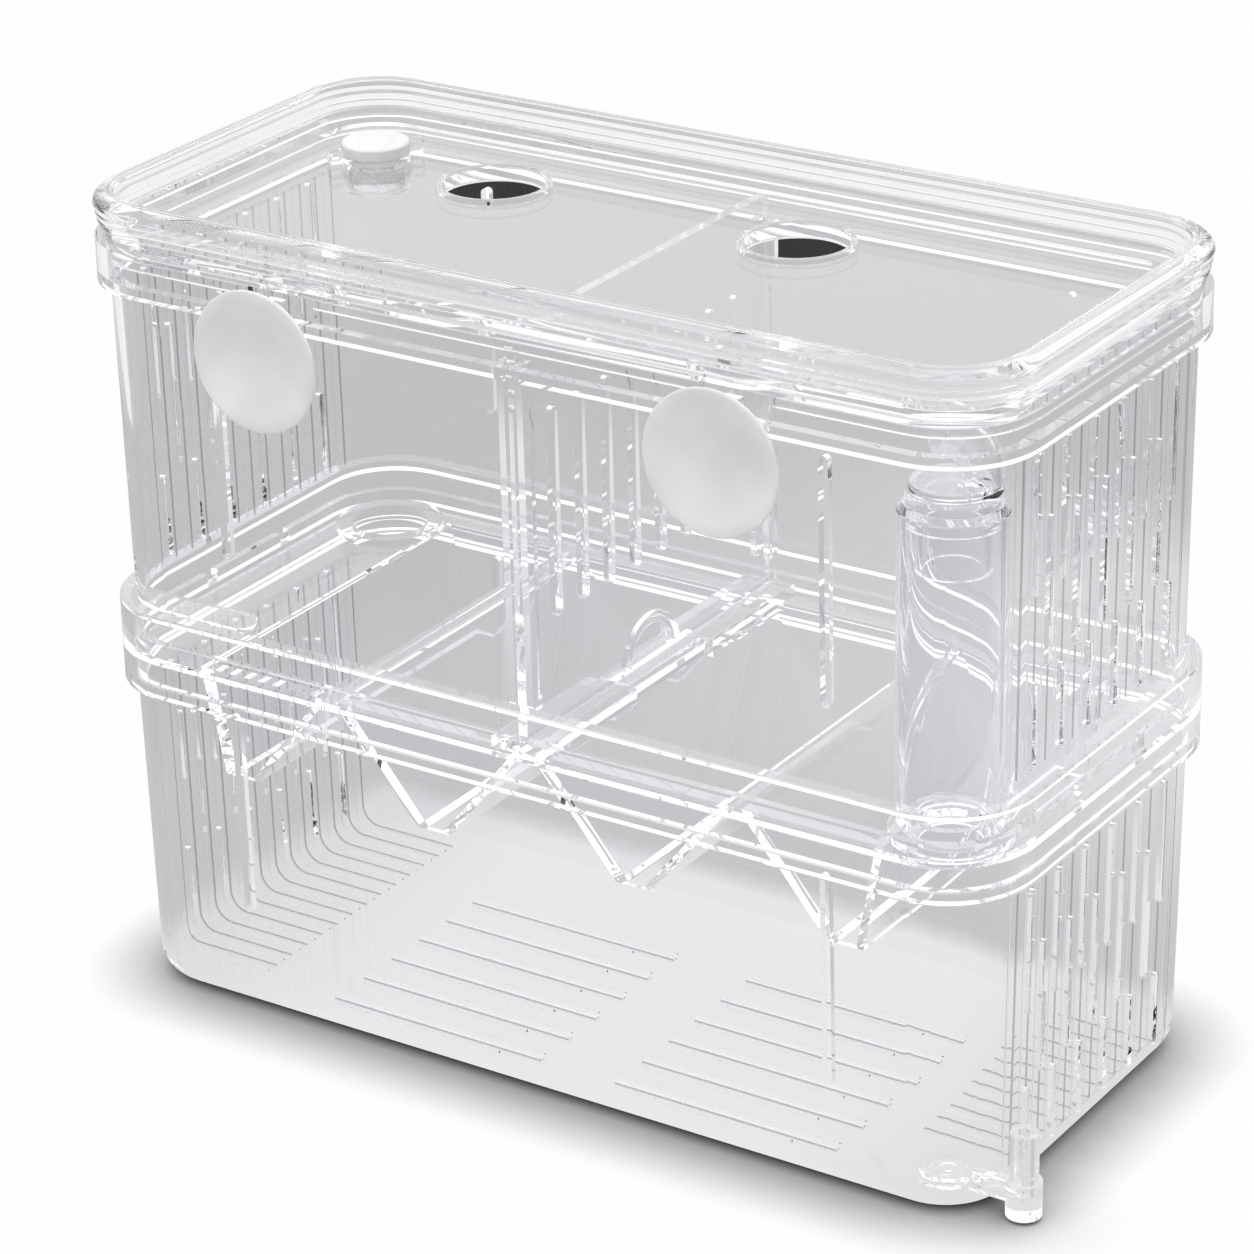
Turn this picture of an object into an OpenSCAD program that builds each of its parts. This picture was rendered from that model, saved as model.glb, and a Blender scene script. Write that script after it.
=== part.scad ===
// Two-storey hanging breeding box for an aquarium: a lower tank, a spawning tray with
// V-shaped troughs, an upper tank with a removable divider, an air-lift riser tube,
// a lid with two feeding holes and a plugged port, and two suction cups.
// Origin at the centre of the lower tank's underside, +X along the box, -Y to the front.

/* [Overall] */
// Length over the rims
box_length = 200; // [180:1:260]
// Width over the rims
box_width = 96; // [90:1:140]
// Corner radius of the rims
corner_radius = 18; // [16:0.5:24]
// Thickness of the tank walls and floor
wall = 1.8; // [1.5:0.1:2]

/* [Lower tank] */
// Height of the lower tank up to its rim
lower_height = 72.4; // [66:0.5:90]
// Height of the lower tank's rim band
lower_rim_height = 7.2; // [6.5:0.1:10]
// How far the wall stands in from the rim at the top
wall_inset_top = 2.5; // [2.4:0.1:3.2]
// How far the wall stands in from the rim at the bottom
wall_inset_bottom = 3.5; // [3:0.1:4.5]
// Radius between the wall and the underside
bottom_radius = 6; // [5:0.5:8]
// Height of the ribs moulded on the floor
floor_rib_height = 0.8; // [0.4:0.1:1.2]
// Width of the ribs moulded on the floor
floor_rib_width = 1.2; // [0.8:0.1:1.6]
// Spacing of the floor ribs
floor_rib_pitch = 9.5; // [8:0.1:10]
// Number of floor ribs in each group
floor_rib_count = 6; // [3:1:7]

/* [Upper tank] */
// Height of the upper tank from its lower edge to its rim
upper_height = 83.6; // [78:0.5:110]
// Height of the collar round the foot of the upper tank
collar_height = 10; // [9:0.5:13]
// Height of the rim band at the top of the upper tank
upper_rim_height = 8.7; // [8:0.1:11]
// Thickness of the rim and collar bands
band_wall = 2.1; // [1.6:0.1:2.2]
// Thickness of the ledges that join the bands to the wall
ledge = 1.6; // [1.2:0.1:2]
// Depth of the divider guides, from the wall inwards
guide_depth = 2.6; // [2:0.1:3.5]
// Width of each guide rib
guide_rib = 1.5; // [1:0.1:2]

/* [Water slots] */
// Width of the slots in the end walls
slot_width = 1.6; // [1:0.1:2]
// Distance between two slots of the same row
slot_pitch = 10.25; // [8:0.05:10.5]
// Slots in the long rows of each end wall
slot_columns = 6; // [2:2:6]
// Width of the single slots in the front and back walls
front_slot_width = 2; // [1.2:0.1:2.4]
// Place of the front and back slots from the middle of the box
front_slot_x = 65.8; // [62:0.2:72]
// Height of the upper tank's front and back slots above the collar
front_slot_rise = 14.8; // [8:0.2:30]

/* [Divider] */
// Thickness of the divider
divider_thickness = 2; // [1.6:0.1:2.2]
// Width of the slots in the divider
divider_slot_width = 2.4; // [1.6:0.1:3]
// Distance between the slots of the divider
divider_slot_pitch = 8.9; // [8:0.1:9.5]
// Number of slots in the divider
divider_slot_count = 8; // [4:1:9]
// Height of the divider slots
divider_slot_height = 41.3; // [30:0.1:45]
// Height of the divider slots above the collar
divider_slot_rise = 13.1; // [8:0.1:20]

/* [Spawning tray] */
// Thickness of the tray's plates
tray_plate = 1.6; // [1.2:0.1:2]
// Depth of the V troughs below the deck
trough_depth = 22.9; // [18:0.1:26]
// Distance between two ridges
trough_pitch = 45.2; // [40:0.2:46]
// Width of the slit at the bottom of a trough
trough_slit = 3.6; // [2:0.1:3.8]
// Flat width of a ridge
ridge_flat = 4; // [3:0.1:5]
// Height of the tray's frame
frame_height = 9; // [8:0.1:10]
// Width of the centre bar under the handle
bar_width = 8; // [7:0.1:10]
// Width of the centre bar's ends
bar_end_width = 12; // [11:0.1:14]
// Height of the centre bar above the deck
bar_height = 2.4; // [2:0.1:3]
// Radius of the loop handle's centre line
loop_radius = 7.9; // [6:0.1:9]
// Thickness of the loop handle
loop_wire = 1.7; // [1.4:0.1:2]
// Length of the handle's saddle
saddle_length = 27; // [24:0.5:32]

/* [Air lift] */
// Distance of the riser's axis from the outside of the rims
riser_inset = 16; // [16:0.1:17.5]
// Outside diameter of the riser tube
riser_diameter = 19.6; // [18:0.1:19.6]
// Wall of the riser tube
riser_wall = 1.6; // [1.2:0.1:2]
// Gap between the outlet's top and the lid
outlet_gap = 2.1; // [1.5:0.1:8]
// Height of the outlet's neck
neck_rise = 3.6; // [3:0.1:6]
// Radius of the outlet's bend
bend_radius = 4.6; // [4.2:0.1:5]
// Depth of the outlet's spigot in the riser
spigot_depth = 12.5; // [8:0.5:20]
// Diameter of the hole that the riser stands in
seat_bore = 15.6; // [14:0.1:15.6]
// Length of the riser's foot in its hole
foot_length = 3; // [2:0.1:4]
// Diameter of the outlet's neck
neck_diameter = 8; // [7:0.1:8.4]
// Wall of the outlet
outlet_wall = 1.2; // [1:0.1:1.4]
// How far the neck stands from the riser's axis
neck_offset = 5; // [4:0.1:5.2]
// Outside diameter of the air nozzle
nozzle_diameter = 5.4; // [4:0.1:6]
// Bore of the air nozzle
nozzle_bore = 2.6; // [1.6:0.1:3]
// Height of the air nozzle's top
nozzle_height = 17.8; // [15:0.1:22]
// Distance of the nozzle's axis beyond the rims
nozzle_reach = 1.4; // [1:0.1:2.5]

/* [Lid] */
// Height of the lid above the rim
lid_height = 8.8; // [8:0.1:11]
// Depth of the sunk panel below the lid's crown
panel_depth = 8.2; // [7:0.1:8.4]
// Thickness of the lid's panel
panel = 2.4; // [2:0.1:2.6]
// Depth of the lid's skirt below the panel
skirt_depth = 2; // [1.5:0.1:4.4]
// Inside diameter of the feeding holes
hole_diameter = 20.2; // [16:0.1:22]
// Distance of the left feeding hole from the middle
left_hole_x = 45; // [35:0.5:48]
// Distance of the right feeding hole from the middle
right_hole_x = 22.9; // [20:0.1:60]
// Distance of the feeding holes from the back of the rims
hole_inset = 30.7; // [26:0.1:48]
// Distance of the port from the end of the rims
port_end_inset = 24.7; // [22:0.1:28]
// Distance of the port from the back of the rims
port_side_inset = 27.4; // [22:0.1:48]
// Wall of the collars round the feeding holes and the port
hole_collar = 1.2; // [1:0.1:1.6]
// Diameter of the port's tube
port_diameter = 13.3; // [12:0.1:14]
// Length of the port's tube below the panel
port_length = 5; // [4:0.1:7]
// Height of the plug's cap
plug_cap_height = 2.6; // [2:0.1:3.2]

/* [Suction cups] */
// Diameter of the suction cups
cup_diameter = 27.6; // [24:0.1:32]
// Place of the cups from the middle of the box
cup_x = 48.9; // [44:0.1:54]
// Distance of the cups' axis below the top rim
cup_drop = 12.5; // [12.3:0.1:16]
// How far the cups' lips stand out of the rim
cup_reach = 7.2; // [6:0.1:9]

/* [Hidden] */
$fn = 64;

clear_plastic = [0.85, 0.88, 0.9, 0.45];
frosted_silicone = [0.93, 0.93, 0.92];

running = 0.05;       // radial clearance of a piece that turns or slides in a bore
loose = 0.3;          // clearance between pieces that lift apart
rest = 0.15;          // gap under a tank or a lid that rests on a rim
through = 1;          // how far a cut runs past the faces that it opens
half_length = box_length / 2;
half_width = box_width / 2;

// Levels
lower_rim_z = lower_height - lower_rim_height;
lower_ledge_z = lower_rim_z + ledge;
collar_z = lower_height + collar_height;
top_z = lower_height + upper_height;
upper_rim_z = top_z - upper_rim_height;
upper_ledge_z = upper_rim_z + ledge;
crown_z = top_z + lid_height;
panel_z = crown_z - panel_depth;
deck_z = lower_height;
tray_foot_z = lower_ledge_z + loose;
frame_z = tray_foot_z + frame_height;
bar_z = deck_z + bar_height;

// Inner faces
inner_inset_top = wall_inset_top + wall;
inner_inset_bottom = wall_inset_bottom + wall;
upper_inset_bottom = wall_inset_top + 0.7;
inner_half_width = half_width - inner_inset_top;
tray_inset = band_wall + loose;
frame_wall = 1.7;
frame_inner_inset = tray_inset + frame_wall;

// Riser
riser_x = half_length - riser_inset;
riser_y = -(half_width - riser_inset);
riser_radius = riser_diameter / 2;
riser_bore = riser_radius - riser_wall;
seat_z = deck_z + tray_plate;
seat_ring = riser_radius + 1.3;
neck_radius = neck_diameter / 2;
cap_rise = 2.2;
flange = 1.6;
turn_gap = 0.1;
bend_z = panel_z - panel - outlet_gap - neck_radius - bend_radius;
flange_z = bend_z - neck_rise - flange;
riser_top_z = flange_z - turn_gap - cap_rise;

// Air inlet, level with the floor's corner
nozzle_x = half_length + nozzle_reach;
nozzle_y = riser_y - 3.2;
inlet_radius = 2.3;
inlet_z = wall + inlet_radius + 0.9;

module rounded_square(length, width, radius) {
    square([length - 2 * radius, width], center = true);
    square([length, width - 2 * radius], center = true);
    for (sx = [-1, 1], sy = [-1, 1])
        translate([sx * (length / 2 - radius), sy * (width / 2 - radius)])
            circle(radius);
}

// A plate with the outline of the rims, drawn in by inset
module plate(inset, z, thickness) {
    translate([0, 0, z])
        linear_extrude(thickness)
            rounded_square(box_length - 2 * inset, box_width - 2 * inset, corner_radius - inset);
}

// Carries a profile round the box. In the profile, x is the distance outwards from the
// outside of the rims, and y is the height.
module round_the_box() {
    for (turn = [0, 180]) {
        rotate([0, 0, turn])
            translate([half_length, 0, 0])
                rotate([90, 0, 0])
                    linear_extrude(box_width - 2 * corner_radius, center = true)
                        children();
        rotate([0, 0, turn + 90])
            translate([half_width, 0, 0])
                rotate([90, 0, 0])
                    linear_extrude(box_length - 2 * corner_radius, center = true)
                        children();
    }
    for (sx = [-1, 1], sy = [-1, 1])
        translate([sx * (half_length - corner_radius), sy * (half_width - corner_radius), 0])
            rotate([0, 0, sx > 0 ? (sy > 0 ? 0 : -90) : (sy > 0 ? 90 : 180)])
                rotate_extrude(angle = 90)
                    translate([corner_radius, 0])
                        children();
}

// An upright slot with round ends, cut along X between two heights
module slot_x(y, low, high, width, length) {
    translate([0, y, 0])
        rotate([90, 0, 90])
            linear_extrude(length, center = true)
                upright_slot(low, high, width);
}

// The same, cut along Y
module slot_y(x, low, high, width, length) {
    translate([x, 0, 0])
        rotate([90, 0, 0])
            linear_extrude(length, center = true)
                upright_slot(low, high, width);
}

module upright_slot(low, high, width) {
    translate([-width / 2, low + width / 2])
        square([width, high - low - width]);
    for (z = [low + width / 2, high - width / 2])
        translate([0, z])
            circle(width / 2);
}

// Staggered rows of slots through both end walls: upper and lower ones in line, and
// middle ones between them
module end_wall_slots(low, high) {
    reach = box_length + 2 * through;
    band = high - low;
    upper_low = low + 0.55 * band;
    middle_high = low + 0.78 * band;
    middle_low = low + 0.3 * band;
    lower_high = low + 0.28 * band;
    for (i = [0 : slot_columns - 1]) {
        y = (i - (slot_columns - 1) / 2) * slot_pitch;
        slot_x(y, upper_low, high, slot_width, reach);
        slot_x(y, low, lower_high, slot_width, reach);
    }
    for (i = [0 : slot_columns - 2])
        slot_x((i - (slot_columns - 2) / 2) * slot_pitch, middle_low, middle_high, slot_width, reach);
}

// ---- Lower tank ----

module lower_wall_profile() {
    band = band_wall;
    inner_radius = bottom_radius - wall;
    difference() {
        union() {
            polygon([
                [-wall_inset_bottom, bottom_radius],
                [-wall_inset_top, lower_rim_z],
                [0, lower_rim_z],
                [0, lower_height],
                [-band, lower_height],
                [-band, lower_ledge_z],
                [-inner_inset_top, lower_ledge_z],
                [-inner_inset_bottom, bottom_radius]
            ]);
            translate([-wall_inset_bottom - bottom_radius, bottom_radius])
                circle(bottom_radius);
        }
        translate([-wall_inset_bottom - bottom_radius, bottom_radius])
            circle(inner_radius);
        translate([-wall_inset_bottom - 3 * bottom_radius, -through])
            square([2 * bottom_radius, 3 * bottom_radius]);
        translate([-wall_inset_bottom - 2 * bottom_radius, bottom_radius])
            square([2 * bottom_radius - wall, bottom_radius + through]);
    }
}

// A low rib on the floor with round ends, from x0 to x1
module floor_rib(x0, x1, y) {
    w = floor_rib_width;
    translate([0, y, wall])
        linear_extrude(floor_rib_height) {
            translate([x0, -w / 2])
                square([x1 - x0, w]);
            translate([x0, 0])
                circle(w / 2);
            translate([x1, 0])
                circle(w / 2);
        }
}

module floor_ribs() {
    rib_length = 49;
    left_start = -53;
    right_start = 13;
    first_y = -33.5;
    for (i = [0 : floor_rib_count - 1]) {
        y = first_y + i * floor_rib_pitch;
        floor_rib(left_start, left_start + rib_length, y);
        floor_rib(right_start, right_start + rib_length, y);
    }
}

// Short ribs along both ends of the floor, in line with the end wall slots
module end_combs() {
    comb_length = 18;
    outer_x = half_length - inner_inset_bottom - bottom_radius;
    combs = 2 * slot_columns + 1;
    for (i = [0 : combs - 1]) {
        y = (i - (combs - 1) / 2) * slot_pitch / 2;
        floor_rib(-outer_x, -outer_x + comb_length, y);
        if (y > riser_y + seat_ring)
            floor_rib(outer_x - comb_length, outer_x, y);
    }
}

module lower_tank() {
    slots_low = bottom_radius - 1;
    slots_high = lower_rim_z - 3.7;
    front_slot_low = 22;
    color(clear_plastic)
        difference() {
            union() {
                round_the_box()
                    lower_wall_profile();
                plate(wall_inset_bottom + bottom_radius, 0, wall);
                floor_ribs();
                end_combs();
                translate([riser_x, riser_y, wall])
                    diffuser_socket();
            }
            end_wall_slots(slots_low, slots_high);
            for (sx = [-1, 1])
                slot_y(sx * front_slot_x, front_slot_low, lower_rim_z, front_slot_width,
                       box_width + 2 * through);
            air_passage(inlet_radius + running);
        }
}

// Low ring on the floor that holds the diffuser under the riser
diffuser_radius = 5.4;
socket_wall = 1.1;
socket_height = 1.8;

module diffuser_socket() {
    difference() {
        cylinder(r = diffuser_radius + socket_wall, h = socket_height);
        translate([0, 0, -through])
            cylinder(r = diffuser_radius + running, h = socket_height + 2 * through);
    }
}

// The way for the nozzle's arm through the wall
module air_passage(radius) {
    translate([nozzle_x - nozzle_diameter, nozzle_y, inlet_z])
        rotate([0, -90, 0])
            cylinder(r = radius, h = 9);
}

// ---- Air nozzle ----

module air_nozzle() {
    foot_radius = nozzle_diameter / 2 + 0.7;
    foot_height = inlet_z + inlet_radius + 0.6;
    foot_gap = 0.8;
    arm_length = 10.4;
    arm_bore = 1.1;
    color(clear_plastic)
        difference() {
            union() {
                translate([nozzle_x, nozzle_y, foot_gap])
                    cylinder(r = nozzle_diameter / 2, h = nozzle_height - foot_gap);
                translate([nozzle_x, nozzle_y, foot_gap])
                    cylinder(r = foot_radius, h = foot_height - foot_gap);
                translate([nozzle_x, nozzle_y, inlet_z])
                    rotate([0, -90, 0])
                        cylinder(r = inlet_radius, h = arm_length);
            }
            translate([nozzle_x, nozzle_y, inlet_z])
                cylinder(d = nozzle_bore, h = nozzle_height);
            translate([nozzle_x, nozzle_y, inlet_z])
                rotate([0, -90, 0])
                    cylinder(r = arm_bore, h = arm_length + through);
        }
}

// Small dished button that breaks the air into bubbles under the riser
module air_diffuser() {
    disc_height = 2.6;
    dish_radius = 3.6;
    dish_depth = 1;
    hole_radius = 0.5;
    holes = 6;
    color(clear_plastic)
        translate([riser_x, riser_y, wall])
            difference() {
                cylinder(r = diffuser_radius, h = disc_height);
                translate([0, 0, disc_height - dish_depth])
                    cylinder(r = dish_radius, h = dish_depth + through);
                for (i = [0 : holes - 1])
                    rotate([0, 0, i * 360 / holes])
                        translate([dish_radius - 1.2, 0, -through])
                            cylinder(r = hole_radius, h = disc_height + 2 * through, $fn = 24);
            }
}

// ---- Spawning tray ----

// Middle and top edges of each trough, counted -2 to 1 from left to right
function trough_middle(i) = (i + 0.5) * trough_pitch;
function trough_left(i) = i == -2 ? trough_middle(i) - slit - steep_top : i * trough_pitch + apex;
function trough_right(i) = i == 1 ? trough_middle(i) + slit + steep_top : (i + 1) * trough_pitch - apex;

valley_z = deck_z - trough_depth;
tray_end_y = half_width - frame_inner_inset - 4.2;
apex = ridge_flat / 2;
slit = trough_slit / 2;
steep_top = 4.6;

// Slanted plate in the X-Z plane, from the deck at x0 to the slit's edge at x1
module leg(x0, x1) {
    side = tray_plate * 1.3 * (x0 < x1 ? 1 : -1);
    polygon([
        [x0, deck_z],
        [x0 - side, deck_z],
        [x1 - side, valley_z],
        [x1, valley_z]
    ]);
}

module trough_legs() {
    for (i = [-2 : 1]) {
        leg(trough_left(i), trough_middle(i) - slit);
        leg(trough_right(i), trough_middle(i) + slit);
    }
}

// Filled outline of the troughs, for the end plates and the deck's opening
module trough_fill() {
    side = tray_plate * 1.3;
    for (i = [-2 : 1])
        polygon([
            [trough_left(i) - side, deck_z],
            [trough_right(i) + side, deck_z],
            [trough_middle(i) + slit + side, valley_z],
            [trough_middle(i) - slit - side, valley_z]
        ]);
}

module along_y(length) {
    rotate([90, 0, 0])
        linear_extrude(length, center = true)
            children();
}

module tray_frame_profile() {
    translate([-frame_inner_inset, tray_foot_z])
        square([frame_wall, frame_height]);
}

// Outer edge plate of the deck, with the ridges between the troughs
module deck() {
    start = deck_z - tray_plate;
    difference() {
        plate(frame_inner_inset, start, tray_plate);
        for (i = [-2 : 1])
            translate([trough_left(i), -tray_end_y, start - through])
                cube([trough_right(i) - trough_left(i), 2 * tray_end_y, tray_plate + 2 * through]);
    }
}

module seat_plate(turn) {
    rotate([0, 0, turn])
        translate([riser_x, riser_y, deck_z])
            cylinder(r = seat_ring, h = tray_plate);
}

// Bar across the middle: wide ends grooved for the divider, and a narrow seat for the handle
groove_gap = 0.2;
groove_depth = 1.2;
saddle_sink = 0.8;
saddle_z = bar_z - saddle_sink;

module centre_bar() {
    length = 2 * (half_width - frame_inner_inset);
    end_length = (length - saddle_length) / 2;
    height = bar_height + tray_plate;
    translate([-bar_width / 2, -length / 2, deck_z - tray_plate])
        cube([bar_width, length, height]);
    for (sy = [-1, 1])
        translate([-bar_end_width / 2, sy > 0 ? saddle_length / 2 : -length / 2, deck_z - tray_plate])
            cube([bar_end_width, end_length, height]);
}

module spawning_tray() {
    end_plate = 1.5;
    notch_width = 3.2;
    notch_depth = 2.7;
    groove = divider_thickness / 2 + groove_gap;
    color(clear_plastic)
        difference() {
            union() {
                round_the_box()
                    tray_frame_profile();
                deck();
                along_y(2 * tray_end_y)
                    trough_legs();
                for (sy = [-1, 1])
                    translate([0, sy * (tray_end_y + end_plate / 2), 0])
                        along_y(end_plate)
                            trough_fill();
                for (turn = [0, 180])
                    intersection() {
                        seat_plate(turn);
                        plate(frame_inner_inset, deck_z - through, tray_plate + 2 * through);
                    }
                centre_bar();
            }
            for (turn = [0, 180])
                rotate([0, 0, turn])
                    translate([riser_x, riser_y, deck_z - tray_plate - through])
                        cylinder(d = seat_bore, h = 2 * tray_plate + 2 * through);
            for (y = [-half_width / 4, half_width / 4], sx = [-1, 1])
                translate([sx * (half_length - frame_inner_inset + frame_wall / 2), y, frame_z])
                    cube([2 * frame_wall, notch_width, 2 * notch_depth], center = true);
            for (sy = [-1, 1])
                translate([-groove, sy > 0 ? saddle_length / 2 : -half_width, bar_z - groove_depth])
                    cube([2 * groove, half_width - saddle_length / 2, groove_depth + through]);
            translate([-bar_width, -saddle_length / 2, saddle_z])
                cube([2 * bar_width, saddle_length, saddle_sink + through]);
        }
}

// Saddle and loop that the tray is lifted by
module tray_handle() {
    plate_height = 1;
    end_gap = 0.1;
    color(clear_plastic) {
        translate([-bar_width / 2, end_gap - saddle_length / 2, saddle_z])
            cube([bar_width, saddle_length - 2 * end_gap, plate_height]);
        translate([0, 0, saddle_z + plate_height / 2])
            rotate([90, 0, 90])
                rotate_extrude(angle = 180)
                    translate([loop_radius, 0])
                        circle(d = loop_wire, $fn = 24);
    }
}

// ---- Upper tank ----

module upper_wall_profile() {
    foot_z = lower_height + rest;
    polygon([
        [0, foot_z],
        [0, collar_z],
        [-upper_inset_bottom, collar_z],
        [-wall_inset_top, upper_rim_z],
        [0, upper_rim_z],
        [0, top_z],
        [-band_wall, top_z],
        [-band_wall, upper_ledge_z],
        [-inner_inset_top, upper_ledge_z],
        [-upper_inset_bottom - wall, collar_z - ledge],
        [-band_wall, collar_z - ledge],
        [-band_wall, foot_z]
    ]);
}

// Two ribs that hold one edge of the divider; side is -1 for the front, 1 for the back
module divider_guide(side) {
    low = collar_z - ledge;
    gap = divider_thickness / 2 + 0.2;
    root = half_width - wall_inset_top - wall / 2;
    for (sx = [-1, 1])
        translate([sx * (gap + guide_rib / 2), side * (root - (guide_depth + wall) / 2), (low + upper_ledge_z) / 2])
            cube([guide_rib, guide_depth + wall, upper_ledge_z - low], center = true);
}

// Opening that a suction cup hangs in: a narrow slot above a hole for its head
cup_neck = 1.9;
cup_head = 3.2;
cup_slide = 9;
cup_z = top_z - cup_drop;

module cup_keyhole(x) {
    cut = 12;
    translate([x, -half_width, 0])
        rotate([90, 0, 0])
            linear_extrude(cut, center = true) {
                translate([0, cup_z])
                    circle(cup_neck + 0.2);
                translate([-cup_neck - 0.2, cup_z - cup_slide])
                    square([2 * cup_neck + 0.4, cup_slide]);
                translate([0, cup_z - cup_slide])
                    circle(cup_head + 0.6);
            }
}

// Window in the rim band above a cup
module rim_window(x) {
    window_width = 3.6;
    window_height = 4.4;
    translate([x, -half_width + band_wall / 2, upper_ledge_z + window_height / 2])
        cube([window_width, 2 * band_wall, window_height], center = true);
}

// Small shelf in the front left corner, level with the collar's ledge
module corner_shelf() {
    shelf_reach = 32;
    shelf_depth = 8;
    end_radius = shelf_depth / 2;
    left = half_length - upper_inset_bottom - wall / 2;
    front = half_width - upper_inset_bottom - wall / 2;
    intersection() {
        translate([0, 0, collar_z - ledge])
            linear_extrude(ledge) {
                translate([-left, -front])
                    square([shelf_reach - end_radius, shelf_depth]);
                translate([-left + shelf_reach - end_radius, -front + end_radius])
                    circle(end_radius);
            }
        plate(upper_inset_bottom + wall / 2, collar_z - ledge, ledge);
    }
}

module upper_tank() {
    slots_low = collar_z + 2.6;
    slots_high = upper_rim_z - 2.3;
    front_slot_low = collar_z + front_slot_rise;
    color(clear_plastic)
        difference() {
            union() {
                round_the_box()
                    upper_wall_profile();
                for (side = [-1, 1])
                    divider_guide(side);
                corner_shelf();
            }
            end_wall_slots(slots_low, slots_high);
            for (sx = [-1, 1])
                slot_y(sx * front_slot_x, front_slot_low, slots_high, front_slot_width,
                       box_width + 2 * through);
            for (sx = [-1, 1]) {
                cup_keyhole(sx * cup_x);
                rim_window(sx * cup_x);
            }
        }
}

// ---- Divider ----

module divider() {
    foot_z = bar_z - groove_depth + loose;
    head_z = panel_z - panel - loose;
    plate_half = inner_half_width - 0.7 - loose;
    slot_low = collar_z + divider_slot_rise;
    arch = loop_radius + loop_wire / 2 + 0.8;
    saddle_half = saddle_length / 2 + loose;
    saddle_top = bar_z + 0.2 + loose;
    color(clear_plastic)
        difference() {
            translate([-divider_thickness / 2, -plate_half, foot_z])
                cube([divider_thickness, 2 * plate_half, head_z - foot_z]);
            for (i = [0 : divider_slot_count - 1])
                slot_x((i - (divider_slot_count - 1) / 2) * divider_slot_pitch, slot_low,
                       slot_low + divider_slot_height, divider_slot_width, 2 * wall + divider_thickness);
            translate([0, 0, bar_z - 0.3])
                rotate([0, 90, 0])
                    cylinder(r = arch, h = 2 * divider_thickness, center = true);
            translate([-divider_thickness, -saddle_half, foot_z - through])
                cube([2 * divider_thickness, 2 * saddle_half, saddle_top - foot_z + through]);
        }
}

// ---- Riser ----

module riser_tube() {
    foot_radius = seat_bore / 2 - running;
    foot_bore = foot_radius - riser_wall;
    color(clear_plastic)
        translate([riser_x, riser_y, 0])
            rotate_extrude()
                polygon([
                    [foot_bore, seat_z - foot_length],
                    [foot_radius, seat_z - foot_length],
                    [foot_radius, seat_z + loose],
                    [riser_radius - 0.5, seat_z + loose],
                    [riser_radius, seat_z + loose + 0.5],
                    [riser_radius, riser_top_z - 1.2],
                    [riser_radius - 1.2, riser_top_z],
                    [riser_bore, riser_top_z],
                    [riser_bore, seat_z + 2.4],
                    [foot_bore, seat_z + 2.4]
                ]);
}

// Stepped ring at the top of the riser, in which the outlet turns
cap_radius = riser_radius - 1.3;
cap_bore = 6.8;
cap_spigot = 4;

module riser_cap() {
    color(clear_plastic)
        translate([riser_x, riser_y, 0])
            rotate_extrude()
                polygon([
                    [cap_bore, riser_top_z - cap_spigot],
                    [riser_bore - running, riser_top_z - cap_spigot],
                    [riser_bore - running, riser_top_z],
                    [cap_radius, riser_top_z],
                    [cap_radius, riser_top_z + cap_rise - 0.6],
                    [cap_radius - 0.6, riser_top_z + cap_rise],
                    [cap_bore, riser_top_z + cap_rise]
                ]);
}

// Turning outlet: a spigot in the cap, a neck beside the axis and a bend to one side
module outlet_spout() {
    spigot_radius = cap_bore - running;
    spigot_low = riser_top_z - spigot_depth;
    mouth = 3.4;
    color(clear_plastic)
        translate([riser_x, riser_y, 0])
            difference() {
                union() {
                    translate([0, 0, spigot_low])
                        cylinder(r = spigot_radius, h = flange_z - spigot_low + through);
                    translate([0, 0, flange_z])
                        cylinder(r = cap_radius - 0.6, h = flange);
                    translate([neck_offset, 0, flange_z])
                        cylinder(r = neck_radius, h = bend_z - flange_z);
                    translate([neck_offset - bend_radius, 0, bend_z])
                        rotate([90, 0, 0])
                            rotate_extrude(angle = 90)
                                translate([bend_radius, 0])
                                    circle(neck_radius);
                    translate([neck_offset - bend_radius, 0, bend_z + bend_radius])
                        rotate([0, -90, 0])
                            cylinder(r = neck_radius, h = mouth);
                }
                translate([0, 0, spigot_low - through])
                    cylinder(r = spigot_radius - outlet_wall, h = flange_z - spigot_low + through);
                translate([neck_offset - 1.4, 0, flange_z - through])
                    cylinder(r = neck_radius - outlet_wall - 1, h = flange + 2 * through);
                translate([neck_offset, 0, flange_z + flange])
                    cylinder(r = neck_radius - outlet_wall, h = bend_z - flange_z - flange);
                translate([neck_offset - bend_radius, 0, bend_z])
                    rotate([90, 0, 0])
                        rotate_extrude(angle = 90)
                            translate([bend_radius, 0])
                                circle(neck_radius - outlet_wall);
                translate([neck_offset - bend_radius, 0, bend_z + bend_radius])
                    rotate([0, -90, 0])
                        cylinder(r = neck_radius - outlet_wall, h = mouth + through);
            }
}

// ---- Lid ----

// Places of the feeding holes and of the port on the panel
hole_left = [-left_hole_x, half_width - hole_inset];
hole_right = [right_hole_x, half_width - hole_inset];
port_place = [port_end_inset - half_length, half_width - port_side_inset];
collar_rise = 1;
panel_inset = 6.6;
skirt_notch = 14.6;   // gap in the lid's skirt over each suction cup
lug_gap = 1.7;

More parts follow.
